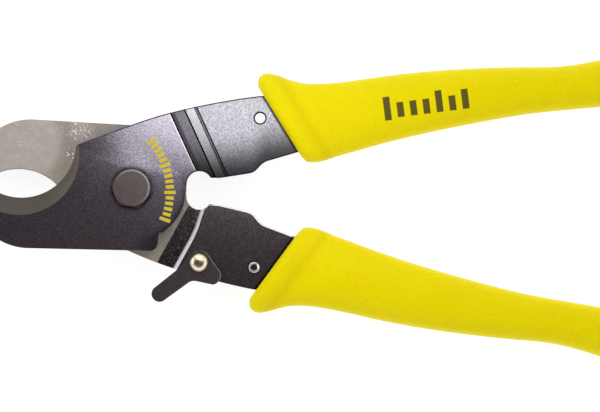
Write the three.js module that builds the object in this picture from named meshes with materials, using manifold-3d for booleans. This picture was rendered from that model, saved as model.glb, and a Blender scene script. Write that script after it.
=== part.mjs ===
// Round cable cutter: two identical forged halves crossing at a hex bolt, with dipped grips and a
// thumb catch. Millimetres. The tool lies flat: the origin is on the bolt's axis at the resting
// plane, +X runs along the mirror axis towards the grips, +Y is the upper grip's side, +Z is up.

import * as THREE from 'three';
import { mergeVertices } from 'three/addons/utils/BufferGeometryUtils.js';
import Module from 'manifold-3d';

const wasm = await Module();
wasm.setup();

const DEG = Math.PI / 180;
const GAP = 0.3; // clearance left round a piece that sits in or on another

// ---- driving dimensions ----

const MID = 8.5; // height of the plane in which the two blades slide
const MATING = 0.05; // each ground flat stands this far off that plane
const PLATE_TOP = 4.65; // outer face of a blade plate, above the sliding plane
const TANG_HALF = 3.3; // half the thickness of a tang
const GROOVE_FLOOR = 2.9; // outer groove where the plate steps down to the tang
const SCORE_DEPTH = 0.35; // the two scored lines that border the ramp beyond that groove
const RELIEF_FLOOR = 0.35; // shallow relief behind the ground flat
const DEEP_RELIEF_FLOOR = 0.6; // its further half lies a little deeper

const CUT_CENTRE = [-36.4, 13.0]; // the hollow that forms the cutting edge
const CUT_RADIUS = 17.6;
const BEVEL_CENTRE = [-36.65, 9.05]; // the same hollow at the outer face
const BEVEL_RADIUS = 19.1;
const JAW_CENTRE = [-33, -1.3]; // back of the hook
const JAW_RADIUS = 19.5;
const TIP_BLUNT = 3 * DEG; // how far the hook's point is dressed back
const THROAT_Y = 12.9; // where the hollow meets the plate's long outer edge
const HEEL_EDGE = 9.1; // the plate's flank beside the heel

const PIVOT_BOSS = 17.4; // radius of the plate round the bolt
const SHANK_RADIUS = 4;
const HEAD_ACROSS_FLATS = 12;
const HEAD_HEIGHT = 3.2;
const HEAD_TURN = -8 * DEG; // how the head happens to be left
const NUT_HEIGHT = 2.6;
const WASHER_RADIUS = 6.5;
const WASHER_HEIGHT = 0.55;
const SEAT = 0.05; // gap left between faces that are clamped together
const END_CHAMFER = 0.6;

const JOGGLE_ANGLE = 26.7 * DEG; // direction in which the halves step from plate to tang
const JOGGLE_BEND = 15.7 * DEG; // near the stop lug the inner slope turns to this direction
const SLOPE_END = 25.4; // foot of the slope from the relief up to the tang's inner face
const BENT_SLOPE_END = 24.4; // the same along the bent direction
const EASED_SLOPE_END = 24.84; // and halfway between, where it rounds the bend
const SLOPE_RUN = 1.6;
const NOTCH_CENTRE = [21.6, 2.1]; // relief between the plates and the stop lugs
const NOTCH_RADIUS = 4.1;
const TANG_END = 150;

const PIN_HOLE = [40.3, 24.1];
const PIN_HOLE_RADIUS = 1.7;
const PIN_RADIUS = 1.5;
const PIN_WALL = 0.45;
const PIN_STANDS_OUT = 0.2;
const PIN_SLOT = 28 * DEG; // half the slot's opening
const COUNTERSINK = 0.45;

const RIVET = [22.5, -23.2];
const RIVET_HEAD = 3;
const RIVET_SHANK = 1.5;
const RIVET_CROWN = 1.9; // height of the domed head
const RIVET_RIM = 0.35; // the straight part of it
const BURR_HEIGHT = 0.6;
const PEEN_RADIUS = 2.4;
const PEEN_HEIGHT = 0.8;
const LEVER_THICK = 2;
const LEVER_BOSS = 3.9;
const LEVER_REACH = 16.15; // rivet to the centre of the thumb end
const LEVER_ANGLE = 220.8 * DEG;
const LEVER_END_RADIUS = 2.6;

// ---- helpers ----

// A three.js geometry as a manifold solid.
function solid(geometry) {
  const bare = geometry.clone();
  bare.deleteAttribute('normal');
  bare.deleteAttribute('uv');
  const merged = mergeVertices(bare, 1e-5);
  return new wasm.Manifold(new wasm.Mesh({
    numProp: 3,
    vertProperties: Float32Array.from(merged.attributes.position.array),
    triVerts: Uint32Array.from(merged.index.array),
  }));
}

// A manifold solid as a flat-shaded three.js geometry.
function geometryOf(body) {
  const { vertProperties, triVerts, numProp } = body.getMesh();
  const positions = new Float32Array(triVerts.length * 3);
  triVerts.forEach((vertex, corner) => {
    for (let axis = 0; axis < 3; axis += 1) {
      positions[corner * 3 + axis] = vertProperties[vertex * numProp + axis];
    }
  });
  const geometry = new THREE.BufferGeometry();
  geometry.setAttribute('position', new THREE.BufferAttribute(positions, 3));
  geometry.computeVertexNormals();
  return geometry;
}

// A flat outline pulled up from one height to another.
function prism(shape, low, high, curveSegments = 24) {
  const geometry = new THREE.ExtrudeGeometry(shape, {
    depth: high - low, bevelEnabled: false, curveSegments,
  });
  return solid(geometry.translate(0, 0, low));
}

// A solid turned about a vertical axis from [radius, height] pairs that start and end on the axis.
function turned(profile, [x, y] = [0, 0], segments = 48) {
  const points = profile.map(([radius, height]) => new THREE.Vector2(radius, height));
  const geometry = new THREE.LatheGeometry(points, segments);
  return solid(geometry.rotateX(Math.PI / 2).translate(x, y, 0));
}

function rod(radius, low, high, at = [0, 0], segments = 48) {
  return turned([[0, low], [radius, low], [radius, high], [0, high]], at, segments);
}

function pointOn([x, y], radius, angle) {
  return [x + radius * Math.cos(angle), y + radius * Math.sin(angle)];
}

function polygon(sides, acrossFlats, turn) {
  const corner = acrossFlats / 2 / Math.cos(Math.PI / sides);
  const points = Array.from({ length: sides }, (_, i) => (
    new THREE.Vector2(...pointOn([0, 0], corner, turn + (i * 2 * Math.PI) / sides))
  ));
  return new THREE.Shape(points);
}

function lineThrough(shape, points) {
  points.forEach(([x, y]) => shape.lineTo(x, y));
}

function sampled(points, count) {
  const curve = new THREE.SplineCurve(points.map(([x, y]) => new THREE.Vector2(x, y)));
  return curve.getPoints(count).map((point) => [point.x, point.y]);
}

const group = new THREE.Group();

// A named piece with its own material.
function piece(name, body, colour, roughness, metalness) {
  const material = new THREE.MeshStandardMaterial({ color: colour, roughness, metalness });
  const mesh = new THREE.Mesh(geometryOf(body), material);
  mesh.name = name;
  group.add(mesh);
  return mesh;
}

// ---- the forged half: plate with a hooked jaw, joggle, tang ----

// Where two circles cross, on the left of the line from the first centre to the second.
function circlesMeet([ax, ay], ra, [bx, by], rb) {
  const distance = Math.hypot(bx - ax, by - ay);
  const along = (ra * ra - rb * rb + distance * distance) / (2 * distance);
  const side = Math.sqrt(ra * ra - along * along);
  const ux = (bx - ax) / distance;
  const uy = (by - ay) / distance;
  return [ax + along * ux - side * uy, ay + along * uy + side * ux];
}

// The tang's two long edges: the outer one leaves the plate in a shallow curve, and both run on
// straight inside the grip.
function tangOuterEdge(gap) {
  const bowed = [[-2.7, 19.6], [6, 22.9], [14.4, 25.6], [24, 28.05], [33.5, 30.1], [40, 31.2]];
  const straight = [[60, 32.4], [100, 37.8], [TANG_END, 42]];
  return [...sampled(bowed, 20), ...straight].map(([x, y]) => [x, y + gap]);
}

function tangInnerEdge(gap) {
  return [[TANG_END, 36], [100, 26.4], [60, 16], [50.9, 12.95]].map(([x, y]) => [x, y - gap]);
}

function halfOutline() {
  const tip = circlesMeet(JAW_CENTRE, JAW_RADIUS, CUT_CENTRE, CUT_RADIUS);
  const backAngle = Math.atan2(tip[1] - JAW_CENTRE[1], tip[0] - JAW_CENTRE[0]) + TIP_BLUNT;
  const edgeAngle = Math.atan2(tip[1] - CUT_CENTRE[1], tip[0] - CUT_CENTRE[0]) + TIP_BLUNT;
  const throat = Math.asin((THROAT_Y - CUT_CENTRE[1]) / CUT_RADIUS);
  const shape = new THREE.Shape();
  shape.moveTo(...pointOn(CUT_CENTRE, CUT_RADIUS, edgeAngle));
  lineThrough(shape, [pointOn(JAW_CENTRE, JAW_RADIUS, backAngle)]);
  shape.absarc(...JAW_CENTRE, JAW_RADIUS, backAngle, 270 * DEG, false);
  lineThrough(shape, [[HEEL_EDGE - 2.7, -20.1]]);
  shape.quadraticCurveTo(HEEL_EDGE - 0.5, -20, HEEL_EDGE - 0.2, -17.6);
  lineThrough(shape, [[HEEL_EDGE, -14.2]]);
  shape.absarc(0, 0, PIVOT_BOSS, -53 * DEG, 4 * DEG, false);
  shape.absarc(...NOTCH_CENTRE, NOTCH_RADIUS, 180 * DEG, 31 * DEG, true);
  lineThrough(shape, [[28.2, 4.3], [37.4, 6.1]]);
  shape.bezierCurveTo(40.6, 6.9, 40, 8.8, 43, 10.3);
  lineThrough(shape, tangInnerEdge(0).reverse());
  lineThrough(shape, tangOuterEdge(0).reverse());
  shape.absarc(...CUT_CENTRE, CUT_RADIUS, throat, edgeAngle - 360 * DEG, true);
  return shape;
}

// A long prism across the half, whose section is given along a direction and height.
function acrossJoggle(section, angle) {
  const shape = new THREE.Shape(section.map(([along, height]) => new THREE.Vector2(along, height)));
  const length = 300;
  const geometry = new THREE.ExtrudeGeometry(shape, { depth: length, bevelEnabled: false });
  const along = new THREE.Vector3(Math.cos(angle), Math.sin(angle), 0);
  const up = new THREE.Vector3(0, 0, 1);
  const across = new THREE.Vector3().crossVectors(along, up);
  geometry.translate(0, 0, -length / 2);
  return solid(geometry.applyMatrix4(new THREE.Matrix4().makeBasis(along, up, across)));
}

// Everything under the ground flat, its relief and the slope down to the tang's inner face.
function underMatingFace() {
  const straight = acrossJoggle([
    [-90, -20], [SLOPE_END, -20], [SLOPE_END, -TANG_HALF],
    [SLOPE_END - SLOPE_RUN, DEEP_RELIEF_FLOOR],
    [21, DEEP_RELIEF_FLOOR], [20.8, RELIEF_FLOOR], [18.75, RELIEF_FLOOR], [18.6, MATING],
    [-90, MATING],
  ], JOGGLE_ANGLE);
  const slopeEndingAt = (end, angle) => acrossJoggle([
    [-90, -20], [end, -20], [end, -TANG_HALF], [end - SLOPE_RUN, DEEP_RELIEF_FLOOR],
    [end - SLOPE_RUN, 1], [-90, 1],
  ], angle);
  return straight
    .intersect(slopeEndingAt(BENT_SLOPE_END, JOGGLE_BEND))
    .intersect(slopeEndingAt(EASED_SLOPE_END, (JOGGLE_ANGLE + JOGGLE_BEND) / 2));
}

// Everything over the outer groove, its scored ramp and the tang's outer face.
function overOuterFace() {
  return acrossJoggle([
    [21.2, 20], [21.3, PLATE_TOP], [21.65, GROOVE_FLOOR], [25.5, GROOVE_FLOOR],
    [25.75, GROOVE_FLOOR - SCORE_DEPTH], [26, GROOVE_FLOOR], [28.75, TANG_HALF - 0.05],
    [28.95, TANG_HALF - SCORE_DEPTH], [29.5, TANG_HALF - SCORE_DEPTH], [29.9, TANG_HALF],
    [200, TANG_HALF], [200, 20],
  ], JOGGLE_ANGLE);
}

// The hollow-ground bevel: a leaning cone between the cutting edge and the larger outer arc.
function jawHollow() {
  const rise = PLATE_TOP - MATING;
  const grow = 0.2; // the cone runs on past both faces
  const at = (share) => [0, 1].map((axis) => (
    CUT_CENTRE[axis] + share * (BEVEL_CENTRE[axis] - CUT_CENTRE[axis])
  ));
  const radiusAt = (share) => CUT_RADIUS + share * (BEVEL_RADIUS - CUT_RADIUS);
  const [lowX, lowY] = at(-grow);
  const [highX, highY] = at(1 + grow);
  const height = rise * (1 + 2 * grow);
  const geometry = new THREE.CylinderGeometry(radiusAt(1 + grow), radiusAt(-grow), height, 120);
  geometry.rotateX(Math.PI / 2).translate(0, 0, height / 2);
  const lean = new THREE.Matrix4().set(
    1, 0, (highX - lowX) / height, lowX,
    0, 1, (highY - lowY) / height, lowY,
    0, 0, 1, MATING - grow * rise,
    0, 0, 0, 1,
  );
  return solid(geometry.applyMatrix4(lean));
}

// A drilled hole with both mouths countersunk.
function drilled(at, radius, low, high, sink) {
  return turned([
    [0, low - 1], [radius + sink + 1, low - 1], [radius, low + sink], [radius, high - sink],
    [radius + sink + 1, high + 1], [0, high + 1],
  ], at, 36);
}

function forgedHalf() {
  return prism(halfOutline(), -TANG_HALF, PLATE_TOP)
    .subtract(underMatingFace())
    .subtract(overOuterFace())
    .subtract(jawHollow())
    .subtract(rod(SHANK_RADIUS + GAP, -20, 20))
    .subtract(drilled(PIN_HOLE, PIN_HOLE_RADIUS, -TANG_HALF, TANG_HALF, COUNTERSINK));
}

piece('front_blade', forgedHalf(), 0x5d5860, 0.45, 0.75).position.z = MID;

const rivetInRearHalf = [RIVET[0], -RIVET[1]];
const rearHalf = forgedHalf().subtract(rod(RIVET_SHANK + GAP, -20, 20, rivetInRearHalf, 36));
const rearBlade = piece('rear_blade', rearHalf, 0x4b464c, 0.45, 0.75);
rearBlade.position.z = MID;
rearBlade.rotation.x = Math.PI;

// ---- pivot: hex bolt from the front, washer and thin nut behind ----

const headBottom = MID + PLATE_TOP + SEAT;
const headTop = headBottom + HEAD_HEIGHT;
const washerTop = MID - PLATE_TOP - SEAT;
const nutTop = washerTop - WASHER_HEIGHT - SEAT;

// A hexagon whose corners are turned away at one or both faces.
function hexagon(low, high, bothFaces) {
  const disc = HEAD_ACROSS_FLATS / 2 - 0.2;
  const beyond = disc + 1.4;
  const fall = 0.55;
  const foot = bothFaces
    ? [[0, low], [disc, low], [beyond, low + fall]]
    : [[0, low], [beyond, low]];
  const chamfer = turned([...foot, [beyond, high - fall], [disc, high], [0, high]]);
  return prism(polygon(6, HEAD_ACROSS_FLATS, HEAD_TURN), low, high).intersect(chamfer);
}

const shank = turned([
  [0, 0], [SHANK_RADIUS - END_CHAMFER, 0], [SHANK_RADIUS, END_CHAMFER],
  [SHANK_RADIUS, headBottom + 0.5], [0, headBottom + 0.5],
]);
piece('pivot_bolt', hexagon(headBottom, headTop, false).add(shank), 0x55504f, 0.4, 0.8);

const washerBore = rod(SHANK_RADIUS + GAP, -5, 20);
const washer = rod(WASHER_RADIUS, washerTop - WASHER_HEIGHT, washerTop).subtract(washerBore);
piece('pivot_washer', washer, 0x8d8c8a, 0.35, 0.9);
const nut = hexagon(nutTop - NUT_HEIGHT, nutTop, true).subtract(washerBore);
piece('pivot_nut', nut, 0x55504f, 0.4, 0.8);

// ---- grips: thick plastic sleeves with a raised rim in front and a splayed end ----

// Each station: outer edge, inner edge, half thickness. The first three turn the rim, the next two
// are the soft valley behind it, and the last three close the end.
const GRIP_STATIONS = [
  [[39.2, 34.4], [53.7, 12.8], 6.4],
  [[39.3, 37.3], [55.4, 10.9], 8.1],
  [[41.9, 38.9], [57.3, 10.4], 8.5],
  [[46.2, 38], [61.2, 11], 7.2],
  [[51.2, 36.4], [66.4, 13], 7.3],
  [[57.5, 35.9], [71.5, 14.6], 7.7],
  [[68, 37.1], [80, 17.4], 8.2],
  [[84, 40.1], [92.5, 21], 8.5],
  [[104, 42.6], [109, 25.1], 8.5],
  [[123, 44], [126, 28.8], 8.3],
  [[137, 44.7], [139, 30.7], 8.1],
  [[150, 47.5], [152, 32.4], 8.3],
  [[164, 51.4], [166, 34.6], 8.5],
  [[176, 52.6], [178.5, 38.4], 8.3],
  [[184, 50.4], [185.6, 42.4], 6],
  [[187, 47.6], [187.2, 46.4], 2.2],
];
const GRIP_SIDES = 28;
const GRIP_ROWS = 60;
const GRIP_SQUARENESS = 0.72; // 1 is an ellipse, less is a fuller section

function gripBody() {
  const edge = (side) => new THREE.SplineCurve(
    GRIP_STATIONS.map((station) => new THREE.Vector2(...station[side])),
  );
  const outer = edge(0);
  const inner = edge(1);
  const thickness = new THREE.SplineCurve(
    GRIP_STATIONS.map((station, i) => new THREE.Vector2(i, station[2])),
  );
  const fuller = (value) => Math.sign(value) * Math.abs(value) ** GRIP_SQUARENESS;
  const geometry = new THREE.CylinderGeometry(1, 1, 1, GRIP_SIDES, GRIP_ROWS);
  const position = geometry.attributes.position;
  for (let i = 0; i < position.count; i += 1) {
    const share = THREE.MathUtils.clamp(position.getY(i) + 0.5, 0, 1);
    const from = inner.getPoint(share);
    const to = outer.getPoint(share);
    const half = Math.min(thickness.getPoint(share).y, MID);
    const across = fuller(position.getX(i)) / 2 + 0.5;
    const rise = -fuller(position.getZ(i)) * half;
    position.setXYZ(i, THREE.MathUtils.lerp(from.x, to.x, across),
      THREE.MathUtils.lerp(from.y, to.y, across), rise);
  }
  return solid(geometry);
}

// The pocket for the tang, open at the front of the grip.
function tangPocket() {
  const front = [30, 6];
  const edge = [...tangOuterEdge(GAP), ...tangInnerEdge(GAP)].filter(([x]) => x > front[0]);
  const points = [...edge, front].map(([x, y]) => (
    new THREE.Vector2(x < TANG_END ? x : x + GAP, y)
  ));
  return prism(new THREE.Shape(points), -TANG_HALF - GAP, TANG_HALF + GAP);
}

const grip = gripBody().subtract(tangPocket());
piece('upper_grip', grip, 0xeee20c, 0.4, 0).position.z = MID;
const lowerGrip = piece('lower_grip', grip, 0xe8d600, 0.4, 0);
lowerGrip.position.z = MID;
lowerGrip.rotation.x = Math.PI;

// ---- catch: stamped lever on a domed rivet, and a slotted spring pin in the tang ----

const leverBottom = MID + TANG_HALF + 0.15;
const leverTop = leverBottom + LEVER_THICK;

// The outline about the rivet: round boss, thumb arm, short square tail.
function leverOutline() {
  const end = pointOn([0, 0], LEVER_REACH, LEVER_ANGLE);
  const shape = new THREE.Shape();
  shape.moveTo(...pointOn([0, 0], LEVER_BOSS, 135 * DEG));
  lineThrough(shape, [[-5.2, -1.1], pointOn(end, LEVER_END_RADIUS, 132 * DEG)]);
  shape.absarc(...end, LEVER_END_RADIUS, 132 * DEG, 305 * DEG, false);
  lineThrough(shape, [[-2.9, -6.5]]);
  shape.quadraticCurveTo(-1.8, -5.8, -0.6, -6);
  lineThrough(shape, [[4.6, -6.9]]);
  shape.quadraticCurveTo(6.4, -6.9, 7.3, -4.4);
  lineThrough(shape, [[7.1, -2.9], pointOn([0, 0], LEVER_BOSS, 25 * DEG)]);
  shape.absarc(0, 0, LEVER_BOSS, 25 * DEG, 135 * DEG, false);
  return shape;
}

const rivetBore = rod(RIVET_SHANK + GAP, -5, 30, [0, 0], 36);
const lever = prism(leverOutline(), leverBottom, leverTop, 10).subtract(rivetBore);
piece('catch_lever', lever, 0x2f2b2c, 0.5, 0.6).position.set(...RIVET, 0);

const burrTop = MID - TANG_HALF - SEAT;
const burr = rod(RIVET_HEAD, burrTop - BURR_HEIGHT, burrTop, [0, 0], 36).subtract(rivetBore);
piece('rivet_washer', burr, 0x9a8f78, 0.35, 0.9).position.set(...RIVET, 0);

// Domed head over the lever, shank through both, peened head under the washer.
function rivetProfile() {
  const headLow = leverTop + SEAT;
  const peenTop = burrTop - BURR_HEIGHT - SEAT;
  const steps = 8;
  const dome = Array.from({ length: steps }, (_, i) => {
    const lift = (i / steps) * 90 * DEG;
    const height = headLow + RIVET_RIM + (RIVET_CROWN - RIVET_RIM) * Math.sin(lift);
    return [RIVET_HEAD * Math.cos(lift), height];
  });
  return [
    [0, peenTop - PEEN_HEIGHT], [1.5, peenTop - PEEN_HEIGHT + 0.1],
    [PEEN_RADIUS, peenTop - 0.25], [PEEN_RADIUS, peenTop], [RIVET_SHANK, peenTop],
    [RIVET_SHANK, headLow], [RIVET_HEAD, headLow], ...dome, [0, headLow + RIVET_CROWN],
  ];
}

piece('catch_rivet', turned(rivetProfile(), RIVET, 36), 0xc9bb8f, 0.25, 1);

// A rolled sleeve with a slot along it, pressed into the lower tang.
function springPin() {
  const shape = new THREE.Shape();
  shape.absarc(0, 0, PIN_RADIUS, PIN_SLOT, 2 * Math.PI - PIN_SLOT, false);
  shape.absarc(0, 0, PIN_RADIUS - PIN_WALL, 2 * Math.PI - PIN_SLOT, PIN_SLOT, true);
  const half = TANG_HALF + PIN_STANDS_OUT;
  return prism(shape, MID - half, MID + half, 20);
}

const pin = piece('spring_pin', springPin(), 0xb9b6b0, 0.3, 1);
pin.position.set(PIN_HOLE[0], -PIN_HOLE[1], 0);
pin.rotation.z = 15 * DEG;

export default group;
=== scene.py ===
from math import atan2, cos, hypot, pi, radians, sin

import bmesh
import bpy
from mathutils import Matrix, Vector


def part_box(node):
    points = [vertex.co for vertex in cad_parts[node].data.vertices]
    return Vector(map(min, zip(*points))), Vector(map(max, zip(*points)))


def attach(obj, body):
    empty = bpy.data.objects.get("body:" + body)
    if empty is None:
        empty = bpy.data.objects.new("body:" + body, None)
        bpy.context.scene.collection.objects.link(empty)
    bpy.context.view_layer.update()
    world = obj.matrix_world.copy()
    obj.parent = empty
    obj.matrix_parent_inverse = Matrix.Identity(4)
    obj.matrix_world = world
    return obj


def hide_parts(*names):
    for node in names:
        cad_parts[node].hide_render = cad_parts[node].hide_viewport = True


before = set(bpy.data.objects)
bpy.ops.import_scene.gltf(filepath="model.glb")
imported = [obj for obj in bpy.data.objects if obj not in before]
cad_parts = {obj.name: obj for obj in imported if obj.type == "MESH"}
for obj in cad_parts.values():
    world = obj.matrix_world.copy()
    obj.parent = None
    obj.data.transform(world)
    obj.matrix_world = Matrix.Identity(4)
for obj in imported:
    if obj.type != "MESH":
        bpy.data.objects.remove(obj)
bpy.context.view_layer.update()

for leftover in ("Cube", "Light", "Camera"):
    if leftover in bpy.data.objects:
        bpy.data.objects.remove(bpy.data.objects[leftover])

# Lengths are metres, in the frame's axes: the bolt's axis is X = Y = 0, the tool lies on Z = 0,
# +X runs towards the grips and +Y towards the upper grip.
mm = 0.001


# ---- the forged blades ----
# Two drop-forged steel halves, the rear one the same forging turned over. They are blackened and
# bead-blasted, then ground bright on the mating flats and on the hollow bevels that cut.

sliding_plane = (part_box("front_blade")[0].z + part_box("rear_blade")[1].z) / 2
plate_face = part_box("front_blade")[1].z - sliding_plane
hollow_centre, hollow_radius = (-36.4 * mm, 13 * mm), 17.6 * mm
bevel_centre, bevel_radius = (-36.65 * mm, 9.05 * mm), 19.1 * mm
joggle_angle = radians(26.7)
relief_start, relief_end = 18.6 * mm, 23.8 * mm
groove_start, groove_end = 21.3 * mm, 25.5 * mm
ramp_end, tang_start = 28.8 * mm, 29.7 * mm
scale_centre, scale_radius = (-13.3 * mm, -1.9 * mm), 25.6 * mm
scale_start, scale_end, tick_pitch = radians(-20), radians(44), radians(4)
tick_half, fifth_tick_extra = 1.3 * mm, 0.5 * mm
pin_hole = (40.3 * mm, -24.1 * mm)
lug_start, lug_height, lug_rise = 27 * mm, 3.9 * mm, 0.22
lug_step_at, lug_step = 40 * mm, 3.6 * mm
mouth_angle, mouth_reach = radians(33.9), 51.7 * mm
# Centres, radii and softness of the painted glint clusters.
glint_cluster_spots = (((-17.6 * mm, -18 * mm), 3 * mm, 2.5 * mm),
                 ((-20 * mm, -9.8 * mm), 2 * mm, 1.5 * mm))
outline_radius = 0.45 * mm


class Value:
    """One output of a material's nodes. Arithmetic on it adds Math nodes."""

    def __init__(self, nodes, socket):
        self.nodes = nodes
        self.socket = socket

    def math(self, operation, first, second=0.0):
        return self.nodes.node("Math", {"operation": operation}, {0: first, 1: second})

    def __add__(self, other):
        return self.math("ADD", self, other)

    def __radd__(self, other):
        return self.math("ADD", other, self)

    def __sub__(self, other):
        return self.math("SUBTRACT", self, other)

    def __rsub__(self, other):
        return self.math("SUBTRACT", other, self)

    def __mul__(self, other):
        return self.math("MULTIPLY", self, other)

    def __rmul__(self, other):
        return self.math("MULTIPLY", other, self)

    def __truediv__(self, other):
        return self.math("DIVIDE", self, other)

    def __pow__(self, other):
        return self.math("POWER", self, other)

    def __abs__(self):
        return self.math("ABSOLUTE", self)

    def over(self, limit, soft):
        """0 below the limit and 1 above it, easing across soft on either side."""
        return self.nodes.node(
            "MapRange", {"interpolation_type": "SMOOTHSTEP"},
            {"Value": self, "From Min": limit - soft, "From Max": limit + soft})

    def under(self, limit, soft):
        return 1 - self.over(limit, soft)

    def within(self, low, high, soft):
        return self.over(low, soft) * self.under(high, soft)


class Nodes:
    """A node tree that is written as expressions."""

    def __init__(self, tree):
        self.tree = tree

    def node(self, kind, settings={}, inputs={}, output=0):
        """Adds a node: its settings first, then a value or a link for each socket named."""
        made = self.tree.nodes.new("ShaderNode" + kind)
        for setting, value in settings.items():
            setattr(made, setting, value)
        for socket, value in inputs.items():
            if isinstance(value, Value):
                self.tree.links.new(value.socket, made.inputs[socket])
            else:
                made.inputs[socket].default_value = value
        return Value(self, made.outputs[output]) if made.outputs else made

    def parts(self, vector):
        """The X, Y and Z of a vector."""
        made = self.node("SeparateXYZ", {}, {0: vector}).socket.node
        return [Value(self, made.outputs[axis]) for axis in range(3)]

    def mix(self, share, first, second):
        """The first colour where share is 0, the second where it is 1."""
        colours = [(*c, 1.0) if isinstance(c, tuple) else c for c in (first, second)]
        return self.node("Mix", {"data_type": "RGBA"}, {0: share, 6: colours[0], 7: colours[1]}, 2)


class Finish(Nodes):
    """A Principled material. Sockets that never vary are given as constants."""

    def __init__(self, name, **constants):
        self.material = bpy.data.materials.new(name)
        self.material.use_nodes = True
        super().__init__(self.material.node_tree)
        self.shader = self.tree.nodes["Principled BSDF"]
        for socket, value in constants.items():
            self.shader.inputs[socket.replace("_", " ")].default_value = value
        self.place = self.node("TexCoord", output=3)
        self.x, self.y, self.z = self.parts(self.place)
        self.facing = self.parts(self.node("TexCoord", output=1))

    def noise(self, size, detail=2.0, roughness=0.5, stretch=(1, 1, 1), turn=0.0):
        """Noise whose features are about size metres wide, 0 to 1."""
        place = self.node(
            "Mapping", {}, {"Vector": self.place, "Rotation": (0, 0, turn),
                            "Scale": [part / size for part in stretch]})
        return self.node("TexNoise", {}, {"Vector": place, "Scale": 1.0, "Detail": detail,
                                          "Roughness": roughness})

    def distance(self, centre, x, y):
        """How far the point x, y lies from centre, seen along Z."""
        return ((x - centre[0]) ** 2 + (y - centre[1]) ** 2) ** 0.5

    def set(self, **links):
        """Links values that vary over the surface to the shader's sockets."""
        for socket, value in links.items():
            self.tree.links.new(value.socket, self.shader.inputs[socket.replace("_", " ")])

    def bump(self, height, distance, strength=1.0):
        self.set(Normal=self.node("Bump", {}, {"Height": height, "Distance": distance,
                                               "Strength": strength}))


def only(piece):
    """Makes piece the one selected and active object."""
    bpy.ops.object.select_all(action="DESELECT")
    piece.select_set(True)
    bpy.context.view_layer.objects.active = piece


def worked_copy(node, name):
    """A copy of a frame node whose loose triangles are joined into whole flat faces."""
    piece = bpy.data.objects.new(name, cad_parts[node].data.copy())
    bpy.context.collection.objects.link(piece)
    only(piece)
    bpy.ops.object.mode_set(mode="EDIT")
    bpy.ops.mesh.select_all(action="SELECT")
    bpy.ops.mesh.customdata_custom_splitnormals_clear()
    bpy.ops.mesh.remove_doubles(threshold=0.002 * mm)
    bpy.ops.mesh.dissolve_limited(angle_limit=radians(0.6))
    bpy.ops.object.mode_set(mode="OBJECT")
    return piece


def middle(edge):
    return (edge.verts[0].co + edge.verts[1].co) / 2


def round_edges(piece, radius, chosen=lambda edge: True, least_angle=25, clamp=True):
    """Rounds the sharp edges that chosen accepts."""
    only(piece)
    bpy.ops.object.mode_set(mode="EDIT")
    bpy.ops.mesh.select_mode(type="EDGE")
    bpy.ops.mesh.select_all(action="DESELECT")
    net = bmesh.from_edit_mesh(piece.data)
    for edge in net.edges:
        sharp = len(edge.link_faces) == 2 and edge.calc_face_angle() > radians(least_angle)
        edge.select_set(sharp and chosen(edge))
    bmesh.update_edit_mesh(piece.data)
    bpy.ops.mesh.bevel(offset=radius, segments=3, affect="EDGES", clamp_overlap=clamp)
    bpy.ops.object.mode_set(mode="OBJECT")


def apply_modifier(piece, kind, **settings):
    only(piece)
    bpy.ops.object.modifier_add(type=kind)
    for setting, value in settings.items():
        setattr(piece.modifiers[-1], setting, value)
    bpy.ops.object.modifier_apply(modifier=piece.modifiers[-1].name)


def finished(piece, finish, body, node, angle=35):
    """Smooth shading that keeps flats flat, then the material and the place in the frame."""
    only(piece)
    bpy.ops.object.shade_smooth_by_angle(angle=radians(angle))
    apply_modifier(piece, "WEIGHTED_NORMAL", keep_sharp=True)
    piece.data.materials.clear()
    piece.data.materials.append(finish.material)
    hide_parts(node)
    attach(piece, body)


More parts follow.
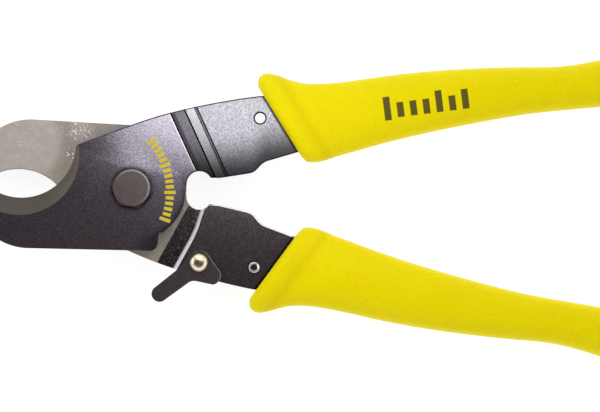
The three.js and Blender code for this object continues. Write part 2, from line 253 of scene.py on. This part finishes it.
def blackened_steel(name, side):
    """side is 1 on the front blade and -1 on the rear one, which is turned over."""
    steel = Finish(name)
    rise = (steel.z - sliding_plane) * side
    across = steel.y * side
    along = steel.x * cos(joggle_angle) + across * sin(joggle_angle)

    # The hollow bevel is a slanting cone between the edge's arc and the arc in the plate's face.
    share = rise / plate_face
    lean = [bevel_centre[axis] - hollow_centre[axis] for axis in (0, 1)]
    reach = steel.distance(hollow_centre, steel.x - share * lean[0], across - share * lean[1])
    cone = hollow_radius + share * (bevel_radius - hollow_radius)
    bevel = (reach - cone).under(0.12 * mm, 0.05 * mm)
    flat = rise.under(0.2 * mm, 0.02 * mm) * along.under(relief_start, 0.05 * mm)
    relief = (rise.within(0.2 * mm, 1 * mm, 0.02 * mm)
              * along.within(relief_start, relief_end, 0.1 * mm))
    wall = steel.facing[2].within(-0.97, 0.97, 0.02) * (1 - bevel)
    top = rise.over(1 * mm, 0.05 * mm)
    tang = top * along.over(groove_start, 0.1 * mm)
    groove_shade = along.within(groove_start + 0.3 * mm, groove_end, 0.1 * mm) * top
    groove_corner_shade = along.within(groove_start, groove_start + 1.2 * mm, 0.4 * mm) * top
    step_shade_lines = (along.within(groove_end, groove_end + 0.5 * mm, 0.05 * mm)
              + along.within(ramp_end, tang_start, 0.15 * mm)) * top
    ramp_highlight = along.within(groove_end + 0.5 * mm, ramp_end, 0.15 * mm) * top
    slope = (abs(steel.facing[2]).within(0.2, 0.7, 0.05)
             * rise.within(-3.1 * mm, 0.5 * mm, 0.05 * mm) * along.over(relief_start, 1 * mm))
    lug_edge = (lug_height + lug_rise * (steel.x - lug_start)
                + lug_step * steel.x.over(lug_step_at, 3 * mm))
    # Painted shade: the tang darkens over about 8 mm towards its lower edge.
    tang_edge_shade = tang * (across - lug_edge).under(7.9 * mm, 8 * mm)

    # The blasted black finish, with painted shade where the parts shade it and painted highlights
    # where edges and bands catch the light.
    grain = steel.noise(0.5 * mm, detail=4, roughness=0.7)
    cloud = steel.noise(9 * mm, detail=3)
    mottle = steel.noise(2.2 * mm, detail=4, roughness=0.6)
    black = steel.mix(cloud.over(0.5, 0.3), (0.4, 0.36, 0.44), (0.4, 0.37, 0.41))
    black = steel.mix(1 - top, black, (0.29, 0.26, 0.27))
    black = steel.mix(tang, black, (0.31, 0.3, 0.32))
    black = steel.mix(grain.over(0.6, 0.1) * (0.5 + 0.2 * top), black, (0.62, 0.6, 0.62))
    black = steel.mix(grain.under(0.42, 0.1) * 0.6, black, (0.13, 0.11, 0.13))
    # Painted highlights: bright specks on the dark relief.
    specks = steel.noise(0.45 * mm, detail=2).over(0.6, 0.06)
    relief_glints = steel.mix(specks, (0.1, 0.09, 0.095), (0.8, 0.78, 0.8))
    black = steel.mix(relief * 0.8, black, relief_glints)
    # Painted shade: the groove floor darkened.
    black = steel.mix(groove_shade * 0.7, black, (0.05, 0.04, 0.05))
    # Painted highlight: the ramp between the groove and the tang made near white.
    black = steel.mix(ramp_highlight * 0.95, black, (0.93, 0.95, 0.98))
    black = steel.mix(tang_edge_shade * 0.92, black, (0.02, 0.017, 0.019))
    # Painted highlight: the sloped step, dark at its foot and white above.
    slope_highlight = steel.mix(rise.under(-0.3 * mm, 0.9 * mm), (0.06, 0.05, 0.055), (1, 1, 1))
    black = steel.mix(slope, black, slope_highlight)
    axle = steel.distance((0, 0), steel.x, across)
    # Painted shade: a dark band just inside the rim of the pivot boss.
    boss_rim_shade = (axle.over(16.3 * mm, 1.3 * mm) * across.under(5 * mm, 4 * mm)
                * steel.x.over(4 * mm, 4 * mm) * along.under(groove_start, 0.1 * mm) * top)
    # Painted shadow: a dark ring on the plate round the bolt head.
    head_shadow = axle.under(6.9 * mm, 0.7 * mm) * top
    black = steel.mix(boss_rim_shade * 0.6 + head_shadow * 0.7, black, (0.03, 0.025, 0.03))
    # Painted highlight: a bright line along the plate's edge where the groove starts.
    groove_rim_highlight = along.within(groove_start - 0.55 * mm, groove_start, 0.12 * mm) * top
    black = steel.mix(groove_rim_highlight * across.over(4 * mm, 5 * mm) * 0.7, black, (1, 1, 1))
    # Painted shade: dark outline walls, dark lines at both ends of the ramp and a dark corner
    # beside the groove.
    black = steel.mix(wall * (1 - slope) * 0.95 + step_shade_lines * 0.7 + groove_corner_shade * 0.7, black,
                      (0.02, 0.018, 0.02))
    # Painted highlight: bright edges along the lower tang's lugs, kept off the pin's hole.
    lug_highlight = (steel.facing[2].within(0.2, 0.995, 0.004) * steel.facing[1].over(0.05, 0.05)
                 * steel.x.within(26 * mm, 56 * mm, 1.5 * mm)
                 * steel.z.under(sliding_plane + 4 * mm, 0.1 * mm)
                 * steel.y.under(0, 0.1 * mm)
                 * steel.distance(pin_hole, steel.x, steel.y).over(2.6 * mm, 0.1 * mm))
    black = steel.mix(lug_highlight * 0.9, black, (1, 0.99, 1))
    # Painted shadow: a dark line on the tangs where they go into the grips.
    to_mouth = steel.x * cos(mouth_angle) + across * sin(mouth_angle) - mouth_reach
    black = steel.mix(to_mouth.over(-0.8 * mm, 0.4 * mm) * 0.9, black, (0.02, 0.016, 0.01))

    # The ground flats, with a painted shade band and painted glints clustered at the heel of the
    # hollow, and the stained bevel.
    ground = steel.mix(mottle, (0.42, 0.37, 0.3), (0.56, 0.53, 0.5))
    ground = steel.mix(steel.x.over(-12 * mm, 16 * mm) * 0.5, ground, (0.22, 0.19, 0.14))
    # Painted shade: a darker band on the ground flat just inside the other blade's hollow.
    shade = steel.distance((hollow_centre[0], -hollow_centre[1]), steel.x, across)
    ground = steel.mix(shade.within(hollow_radius - 5 * mm, hollow_radius, 2 * mm) * 0.45,
                       ground, (0.2, 0.19, 0.13))
    glint = steel.noise(0.3 * mm, detail=1).over(0.66, 0.03) * steel.noise(5 * mm).over(0.55, 0.1)
    glint_clusters = 0.0
    for spot, radius, soft in glint_cluster_spots:
        glint_clusters = glint_clusters + steel.distance(spot, steel.x, across).under(radius, soft)
    # Painted glints: white specks on the ground flats, clustered at the heel of the hollow.
    clustered_glints = steel.noise(0.75 * mm, detail=1).over(0.6, 0.02) * glint_clusters
    ground = steel.mix((glint * 0.8 + clustered_glints) * flat, ground, (1.0, 1.0, 0.97))
    stained = steel.mix(mottle, (0.08, 0.066, 0.052), (0.12, 0.103, 0.088))
    stained = steel.mix(steel.x.over(-21 * mm, 8 * mm) * 0.6, stained, (0.26, 0.235, 0.2))
    colour = steel.mix(bevel, steel.mix(flat, black, ground), stained)
    bare = 1 - flat * 0.55 - bevel * 0.4 - ramp_highlight * 0.25 - slope - lug_highlight * 0.8
    rough = 0.2 + 0.08 * grain + flat * 0.4 + bevel * 0.3

    # The printed scale on the front plate, with every fifth tick longer.
    if side == 1:
        angle = steel.node("Math", {"operation": "ARCTAN2"},
                           {0: across - scale_centre[1], 1: steel.x - scale_centre[0]})
        step = (angle - scale_start) / tick_pitch
        count = steel.node("Math", {"operation": "FLOOR"}, {0: step})
        bar = (abs(step - count - 0.5).under(0.3, 0.05)
               * angle.within(scale_start, scale_end, 0.001))
        fifth = steel.node("Math", {"operation": "MODULO"}, {0: count, 1: 5}).under(0.5, 0.01)
        off_arc = abs(steel.distance(scale_centre, steel.x, across) - scale_radius)
        paint = bar * (off_arc - fifth * fifth_tick_extra).under(tick_half, 0.08 * mm) * top
        colour = steel.mix(paint, colour, (0.66, 0.5, 0.002))
        bare = bare * (1 - paint)
        rough = rough + paint * 0.3
    steel.set(Base_Color=colour, Metallic=bare, Roughness=rough)
    scratch = steel.noise(0.25 * mm, detail=2, stretch=(1, 0.06, 1), turn=radians(-60))
    steel.bump(grain * (1 - flat) * (1 - bevel) + scratch * flat * 0.6, 0.03 * mm, 0.4)
    return steel


for node, body, side in (("front_blade", "front_half", 1), ("rear_blade", "rear_half", -1)):
    blade = worked_copy(node, "forged_" + node)

    def on_outline(edge):
        """Between a flat face and the outer wall, away from the hollow, the bore and the cut."""
        point = middle(edge)
        steepness = sorted(abs(face.normal.z) for face in edge.link_faces)
        off_hollow = abs(hypot(point.x - bevel_centre[0], point.y * side - bevel_centre[1])
                         - bevel_radius)
        height = (point.z - sliding_plane) * side
        return (steepness[0] < 0.3 and steepness[1] > 0.9 and off_hollow > 0.6 * mm
                and hypot(point.x, point.y) > 5 * mm and abs(height) > 1 * mm)

    round_edges(blade, outline_radius, on_outline, clamp=False)
    finished(blade, blackened_steel("blackened_" + node, side), body, node)


# ---- the pivot bolt, its washer and nut ----
# A hex bolt from the front clamps the blades on its shank. Its head is cold-forged and oil-black.
# Behind are a zinc-plated washer and a thin hex nut.

bolt_black = Finish("oil_black_bolt", Metallic=1.0)
around = bolt_black.node("Math", {"operation": "ARCTAN2"}, {0: bolt_black.y, 1: bolt_black.x})
from_axis = bolt_black.distance((0, 0), bolt_black.x, bolt_black.y)
forging = bolt_black.noise(0.5 * mm, detail=4, roughness=0.6)
patches = bolt_black.noise(3 * mm, detail=2)
side_wall = bolt_black.facing[2].within(-0.95, 0.95, 0.015)
oiled = bolt_black.mix(patches, (0.17, 0.142, 0.128), (0.23, 0.198, 0.187))
oiled = bolt_black.mix(forging.under(0.42, 0.1) * 0.5, oiled, (0.12, 0.1, 0.1))
# Painted shade: the head's side walls and hex corners made near black.
oiled = bolt_black.mix(side_wall * 0.9, oiled, (0.03, 0.026, 0.026))
rim_inner, rim_outer = 5.3 * mm, 5.8 * mm
# Painted highlight: a pale ring at the rim of the head, on its +X +Y side only.
head_rim_highlight = (from_axis.within(rim_inner, rim_outer, 0.15 * mm) * (1 - side_wall)
               * (bolt_black.x + bolt_black.y).over(0, 6 * mm))
oiled = bolt_black.mix(head_rim_highlight * 0.8, oiled, (0.55, 0.5, 0.48))
bolt_black.set(Base_Color=oiled, Roughness=0.34 + 0.16 * forging)
thread_pitch, thread_end = 1.25 * mm, 4 * mm
thread_inner, thread_outer = 3.2 * mm, 4.2 * mm
turns = (bolt_black.z / thread_pitch + around / (2 * pi)) * (2 * pi)
thread = (bolt_black.node("Math", {"operation": "SINE"}, {0: turns})
          * bolt_black.z.under(thread_end, 0.1 * mm))
on_shank = from_axis.within(thread_inner, thread_outer, 0.1 * mm) * side_wall
bolt_black.bump(forging * 0.12 + thread * on_shank, 0.3 * mm, 0.6)

bolt = worked_copy("pivot_bolt", "hex_bolt")
round_edges(bolt, 0.22 * mm, least_angle=20)
finished(bolt, bolt_black, "rear_half", "pivot_bolt")

nut = worked_copy("pivot_nut", "hex_nut")
round_edges(nut, 0.2 * mm, least_angle=20)
finished(nut, bolt_black, "rear_half", "pivot_nut")

zinc = Finish("zinc_plate", Metallic=1.0)
spangle = zinc.noise(1.2 * mm, detail=3)
ring_pitch = 0.16 * mm
rings = zinc.node("Math", {"operation": "SINE"},
                  {0: zinc.distance((0, 0), zinc.x, zinc.y) * (2 * pi / ring_pitch)})
zinc.set(Base_Color=zinc.mix(spangle, (0.5, 0.51, 0.53), (0.66, 0.66, 0.66)),
         Roughness=0.28 + 0.2 * spangle)
zinc.bump(rings * 0.5 + spangle, 0.01 * mm)
washer = worked_copy("pivot_washer", "plain_washer")
round_edges(washer, 0.12 * mm)
finished(washer, zinc, "rear_half", "pivot_washer")


# ---- the grips ----
# Thick sleeves of soft yellow plastic, dip-moulded over the tangs, with a raised rim in front that
# stops the hand and a splayed end. The surface is finely pebbled, and the upper one is printed.

# Millimetres: the outer edge, the inner edge and the half thickness of each section.
grip_stations = (
    ((39.2, 34.4), (53.7, 12.8), 6.4), ((39.3, 37.3), (55.4, 10.9), 8.1),
    ((41.9, 38.9), (57.3, 10.4), 8.5), ((46.2, 38), (61.2, 11), 7.2),
    ((51.2, 36.4), (66.4, 13), 7.3), ((57.5, 35.9), (71.5, 14.6), 7.7),
    ((68, 37.1), (80, 17.4), 8.2),
    ((84, 40.1), (92.5, 21), 8.5), ((104, 42.6), (109, 25.1), 8.5),
    ((123, 44), (126, 28.8), 8.3), ((137, 44.7), (139, 30.7), 8.1),
    ((150, 47.5), (152, 32.4), 8.3), ((164, 51.4), (166, 34.6), 8.5),
    ((176, 52.6), (178.5, 38.4), 8.3), ((184, 50.4), (185.6, 42.4), 6),
    ((187, 47.6), (187.2, 46.4), 2.2),
)
# The same for the pocket that the tang fills.
tang_stations = (
    ((34, 30.35), (45.5, 10.98), 3.45), ((40, 31.35), (50.9, 12.8), 3.45),
    ((60, 32.55), (60, 15.85), 3.45), ((100, 37.95), (100, 26.25), 3.45),
    ((150.15, 42.1), (150.15, 35.9), 3.45),
)


def eased(before, start, end, after, share):
    """A point between start and end on a smooth curve through four."""
    return 0.5 * (2 * start + (end - before) * share
                  + (2 * before - 5 * start + 4 * end - after) * share ** 2
                  + (3 * start - before - 3 * end + after) * share ** 3)


def with_stations_between(stations):
    """The stations with one more between each two, on the smooth curve through them all."""
    edges = [Vector((*outer, *inner)) for outer, inner, half in stations]
    halves = [half for outer, inner, half in stations]
    last = len(stations) - 1
    made = []
    for i in range(last):
        near = (max(i - 1, 0), i, i + 1, min(i + 2, last))
        for share in (0, 0.5):
            edge = eased(*[edges[k] for k in near], share)
            made.append((edge[:2], edge[2:], eased(*[halves[k] for k in near], share)))
    return made + [stations[last]]


def lofted(name, stations, groove_corner_shade):
    """A skin bridged through rectangles whose corners are rounded by a percentage."""
    bpy.ops.object.select_all(action="DESELECT")
    bpy.ops.mesh.primitive_plane_add(size=0.1 * mm)
    piece = bpy.context.object
    piece.name = name
    bpy.ops.object.mode_set(mode="EDIT")
    bpy.ops.mesh.delete(type="VERT")
    bpy.ops.mesh.select_mode(type="VERT")
    for outer, inner, half in stations:
        east, north = outer[0] - inner[0], outer[1] - inner[1]
        width = hypot(east, north)
        centre = ((outer[0] + inner[0]) / 2 * mm, (outer[1] + inner[1]) / 2 * mm, sliding_plane)
        bpy.ops.mesh.select_all(action="DESELECT")
        bpy.ops.mesh.primitive_plane_add(size=width * mm, location=centre,
                                         rotation=(pi / 2, 0, atan2(north, east)))
        bpy.ops.transform.resize(value=(1, 1, 2 * half / width), center_override=centre)
        if groove_corner_shade:
            bpy.ops.mesh.bevel(offset_type="PERCENT", offset_pct=groove_corner_shade, segments=3,
                               affect="VERTICES")
    bpy.ops.mesh.select_all(action="SELECT")
    bpy.ops.mesh.delete(type="ONLY_FACE")
    bpy.ops.mesh.select_all(action="SELECT")
    bpy.ops.mesh.bridge_edge_loops()
    bpy.ops.mesh.select_mode(type="EDGE")
    bpy.ops.mesh.select_all(action="DESELECT")
    net = bmesh.from_edit_mesh(piece.data)
    far = max(vert.co.x for vert in net.verts) - 1 * mm
    for edge in net.edges:
        edge.select_set(edge.is_boundary and middle(edge).x > far)
    bmesh.update_edit_mesh(piece.data)
    bpy.ops.mesh.edge_face_add()
    bpy.ops.object.mode_set(mode="OBJECT")
    return piece


def fill_front(piece):
    """Closes the skin's open front end and turns its faces outwards."""
    only(piece)
    bpy.ops.object.mode_set(mode="EDIT")
    bpy.ops.mesh.select_mode(type="EDGE")
    bpy.ops.mesh.select_all(action="DESELECT")
    bpy.ops.mesh.select_non_manifold()
    bpy.ops.mesh.edge_face_add()
    bpy.ops.mesh.select_all(action="SELECT")
    bpy.ops.mesh.normals_make_consistent(inside=False)
    bpy.ops.object.mode_set(mode="OBJECT")


upper = lofted("upper_grip_sleeve", with_stations_between(grip_stations), groove_corner_shade=38)
apply_modifier(upper, "SUBSURF", levels=2, render_levels=2)
fill_front(upper)
tang_room = lofted("tang_room", tang_stations, groove_corner_shade=0)
fill_front(tang_room)
apply_modifier(upper, "BOOLEAN", operation="DIFFERENCE", object=tang_room, solver="EXACT")
bpy.data.objects.remove(tang_room)


def at_mouth(edge):
    """On the rim of the pocket, where the tang comes out of the grip."""
    point = middle(edge)
    outer, inner, half = grip_stations[0]
    across, along = outer[1] - inner[1], inner[0] - outer[0]
    behind = (point.x / mm - outer[0]) * across + (point.y / mm - outer[1]) * along
    return (abs(behind) / hypot(across, along) < 0.615
            and abs(point.z - sliding_plane) < 6.6 * mm)


round_edges(upper, 0.35 * mm, at_mouth, least_angle=20)

only(upper)
bpy.ops.object.duplicate()
lower = bpy.context.object
lower.name = "lower_grip_sleeve"
lower.rotation_euler = (pi, 0, 0)
lower.location = (0, 0, 2 * sliding_plane)
bpy.ops.object.transform_apply(location=True, rotation=True, scale=True)


valley_start, valley_end = 6 * mm, 8.6 * mm
mark_centre, mark_turn = (94.4 * mm, 31.1 * mm), radians(9.5)
mark_bars = ((-13.6, -4, 3.6), (-9.4, -3.4, 1.4), (-5.2, -3.4, 1.4), (-1, -3.4, 1.4),
             (3.2, -3.4, 3.6), (7.4, -3.4, 1.4), (11.6, -3.4, 3))


def yellow_plastic(name, marked):
    plastic = Finish(name, Specular_IOR_Level=0.07)
    pebble = plastic.noise(0.7 * mm, detail=3, roughness=0.55)
    cloud = plastic.noise(14 * mm, detail=3)
    speck = plastic.noise(0.9 * mm, detail=2)
    yellow = plastic.mix(cloud, (0.83, 0.69, 0), (0.87, 0.76, 0))
    yellow = plastic.mix(pebble.under(0.42, 0.12) * 0.35, yellow, (0.74, 0.56, 0))
    behind_mouth = (plastic.x * cos(mouth_angle) + abs(plastic.y) * sin(mouth_angle)
                    - mouth_reach)
    # Painted shade: the grip darkened in the valley behind the rim.
    valley_shade = behind_mouth.within(valley_start, valley_end, 1.6 * mm)
    yellow = plastic.mix(valley_shade * 0.3, yellow, (0.62, 0.45, 0))
    yellow = plastic.mix(speck.over(0.63, 0.06) * 0.25, yellow, (0.95, 0.84, 0.02))
    if marked:
        east, north = plastic.x - mark_centre[0], plastic.y - mark_centre[1]
        along = east * cos(mark_turn) + north * sin(mark_turn)
        upward = north * cos(mark_turn) - east * sin(mark_turn)
        mark = 0.0
        for place, low, high in mark_bars:
            mark = mark + (abs(along - place * mm).under(1.1 * mm, 0.12 * mm)
                           * upward.within(low * mm, high * mm, 0.12 * mm))
        mark = mark * plastic.z.over(sliding_plane + 3 * mm, 0.1 * mm)
        yellow = plastic.mix(mark * 0.92, yellow, (0.06, 0.045, 0.018))
    plastic.set(Base_Color=yellow, Roughness=0.42 + 0.14 * pebble)
    plastic.bump(pebble + 0.4 * speck, 0.12 * mm, 0.5)
    return plastic


for sleeve, body, node in ((upper, "front_half", "upper_grip"), (lower, "rear_half", "lower_grip")):
    finish = yellow_plastic("yellow_" + node, marked=node == "upper_grip")
    finished(sleeve, finish, body, node, angle=40)


# ---- the catch lever ----
# The thumb catch, stamped from 2 mm steel sheet and painted black. The press turns its edges over
# slightly, and a painted highlight runs along the edges that face +X. It swings on the rivet.

stamping = Finish("black_stamping", Metallic=0.3)
orange_peel = stamping.noise(0.6 * mm, detail=3)
rub = stamping.noise(1.2 * mm, detail=4).over(0.62, 0.1)
painted = stamping.mix(orange_peel, (0.035, 0.026, 0.028), (0.055, 0.042, 0.046))
# Painted highlight: lighter edges on the sides that face +X.
lever_lit_edges = stamping.facing[2].within(0.4, 0.98, 0.02) * stamping.facing[0].over(0.3, 0.2)
painted = stamping.mix(lever_lit_edges * 0.7, painted, (0.6, 0.56, 0.56))
stamping.set(Base_Color=stamping.mix(rub * 0.2, painted, (0.13, 0.11, 0.11)),
             Roughness=0.38 + 0.15 * orange_peel)
stamping.bump(orange_peel, 0.05 * mm, 0.5)
lever = worked_copy("catch_lever", "stamped_lever")
round_edges(lever, 0.35 * mm)
finished(lever, stamping, "catch", "catch_lever")


# ---- the rivet and its washer ----
# A domed, brass-plated rivet carries the lever. It goes through the lower tang and is peened over
# a small washer behind it.

rivet_metal = Finish("pale_brass_plate", Metallic=1.0)
tarnish = rivet_metal.noise(1.3 * mm, detail=3, roughness=0.6)
fine = rivet_metal.noise(0.25 * mm, detail=2)
brass = rivet_metal.mix(tarnish, (0.86, 0.8, 0.62), (0.62, 0.54, 0.36))
rivet_metal.set(Base_Color=rivet_metal.mix(tarnish.over(0.6, 0.05) * 0.6, brass, (0.2, 0.16, 0.1)),
                Roughness=0.16 + 0.2 * fine)
rivet_metal.bump(fine + tarnish, 0.03 * mm, 0.5)
rivet = worked_copy("catch_rivet", "domed_rivet")
finished(rivet, rivet_metal, "rear_half", "catch_rivet", angle=50)
burr = worked_copy("rivet_washer", "rivet_burr")
round_edges(burr, 0.12 * mm)
finished(burr, rivet_metal, "rear_half", "rivet_washer")


# ---- the spring pin ----
# A slotted sleeve rolled from bright spring steel and driven into the lower tang's hole. A dark
# plug fills its bore.

bright = Finish("bright_spring_steel", Metallic=1.0)
drawn = bright.noise(0.3 * mm, detail=2, stretch=(1, 1, 0.1))
bright.set(Base_Color=bright.mix(drawn, (0.86, 0.84, 0.8), (0.95, 0.94, 0.92)),
           Roughness=0.12 + 0.15 * drawn)
bright.bump(drawn, 0.01 * mm, 0.5)
pin = worked_copy("spring_pin", "slotted_pin")
round_edges(pin, 0.12 * mm)
finished(pin, bright, "rear_half", "spring_pin")

# A dark plug for the pin's bore.
bore_fill = Finish("dark_bore_fill", Roughness=0.7, Specular_IOR_Level=0.2)
grit = bore_fill.noise(0.3 * mm, detail=3)
bore_fill.set(Base_Color=bore_fill.mix(grit, (0.02, 0.016, 0.013), (0.05, 0.042, 0.035)))
bore_fill.bump(grit, 0.1 * mm)
pin_low, pin_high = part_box("spring_pin")
plug_radius, plug_length = 1.02 * mm, 5.6 * mm
bpy.ops.object.select_all(action="DESELECT")
bpy.ops.mesh.primitive_cylinder_add(
    vertices=32, radius=plug_radius, depth=plug_length,
    location=((pin_low.x + pin_high.x) / 2, (pin_low.y + pin_high.y) / 2, sliding_plane))
plug = bpy.context.object
plug.name = "pin_bore_grease"
bpy.ops.object.mode_set(mode="EDIT")
bpy.ops.mesh.select_mode(type="FACE")
for upward in (1, -1):
    bpy.ops.mesh.select_all(action="DESELECT")
    for face in bmesh.from_edit_mesh(plug.data).faces:
        face.select_set(face.normal.z * upward > 0.9)
    bmesh.update_edit_mesh(plug.data)
    for depth in (0.25, 0.15):
        bpy.ops.mesh.inset(thickness=0.25 * mm, depth=-depth * mm)
bpy.ops.object.mode_set(mode="OBJECT")
bpy.ops.object.transform_apply(location=True, rotation=True, scale=True)
bpy.ops.object.shade_smooth_by_angle(angle=radians(40))
plug.data.materials.append(bore_fill.material)
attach(plug, "rear_half")


# ---- camera, floor and lights ----
# A long lens looks straight down on a pale floor. The sky is dark overhead, bright around that and
# dimmer at the horizon, and a soft panel hangs low over the upper tang, whose flat face mirrors it.

aim = Vector((54.3, -3.7, 11)) * mm
camera_height, view_width, roll = 1.2, 193.5 * mm, radians(2.3)
camera = bpy.data.objects.new("camera", bpy.data.cameras.new("camera"))
bpy.context.collection.objects.link(camera)
camera.location = aim + Vector((0, 0, camera_height))
camera.rotation_euler = (0, 0, roll)
camera.data.lens = camera.data.sensor_width * camera_height / view_width
camera.data.clip_end = 50
bpy.context.scene.camera = camera

bpy.ops.object.select_all(action="DESELECT")
bpy.ops.mesh.primitive_plane_add(size=6, location=(0, 0, -0.05 * mm))
floor = bpy.context.object
floor.name = "floor"
paper = Finish("pale_paper", Roughness=0.9, Base_Color=(0.3, 0.3, 0.3, 1),
               Emission_Color=(1, 1, 1, 1), Emission_Strength=0.85)
floor.data.materials.append(paper.material)

world = bpy.context.scene.world or bpy.data.worlds.new("studio")
bpy.context.scene.world = world
world.use_nodes = True
world.node_tree.nodes.clear()
studio = Nodes(world.node_tree)
east, north, height = studio.parts(studio.node("TexCoord"))
overhead = height.over(0.74, 0.12)
horizon_level, sky_level, north_level, zenith_level = 0.32, 1.62, 0.2, 0.06
sides = horizon_level + sky_level * height.over(0.36, 0.36) + north_level * north
level = (1 - overhead) * sides + overhead * zenith_level
tint = studio.mix(overhead, (1, 1, 1), (1, 0.78, 0.86))
seen = studio.node("LightPath")
glow = studio.node("Background", {}, {"Color": tint, "Strength": seen + (1 - seen) * level})
studio.node("OutputWorld", {}, {"Surface": glow})

panel = bpy.data.objects.new("panel", bpy.data.lights.new("panel", "AREA"))
bpy.context.collection.objects.link(panel)
panel.data.shape = "RECTANGLE"
panel.data.size, panel.data.size_y = 80 * mm, 42 * mm
panel.location = (32 * mm, 31 * mm, 110 * mm)
panel.rotation_euler = (0, 0, radians(-12))
panel.data.color = (0.95, 0.97, 1)
panel_radiance = 2.4
panel.data.energy = panel_radiance * pi * panel.data.size * panel.data.size_y
panel.visible_camera = False

bpy.context.scene.view_settings.view_transform = "Standard"
